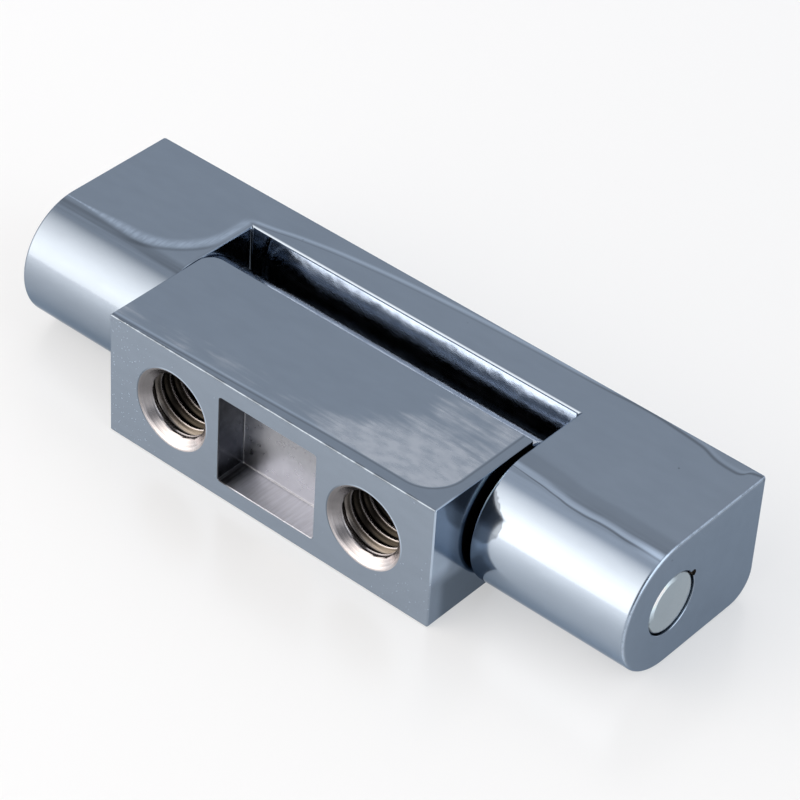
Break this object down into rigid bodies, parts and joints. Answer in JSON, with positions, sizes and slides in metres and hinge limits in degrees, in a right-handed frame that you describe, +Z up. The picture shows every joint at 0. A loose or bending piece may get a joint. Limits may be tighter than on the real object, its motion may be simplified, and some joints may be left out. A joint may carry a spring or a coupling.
{
  "type": "cabinet hinge",
  "caption": "Chromed die-cast cabinet hinge: a door leaf with threaded holes turns on a through pin in the notch of a frame leaf, and both leaves are screwed on from behind.",
  "frame": {"origin": "centre of the bounding box at the bottom, on the plane that both leaves stand on", "axes": "+X along the hinge pin, towards the right end; +Y from the door leaf's mounting face towards the frame leaf's mounting face; +Z up, square to the flat top of both leaves"},
  "size_m": [0.075, 0.0246, 0.014],
  "materials": {
    "plated_casting": "bright chrome plate over buffed die-cast zinc alloy",
    "pin_steel": "nickel-plated steel with a tumbled, slightly domed end"
  },
  "bodies": {
    "frame": {"frame_leaf": "plated_casting", "hinge_pin": "pin_steel"},
    "door": {"door_leaf": "plated_casting"}
  },
  "joints": [
    {"name": "door_swing", "type": "hinge", "parent": "frame", "child": "door", "pos_m": [0, -0.0007, 0.007], "axis": [-1, 0, 0], "range_deg": [-98, 98]}
  ]
}
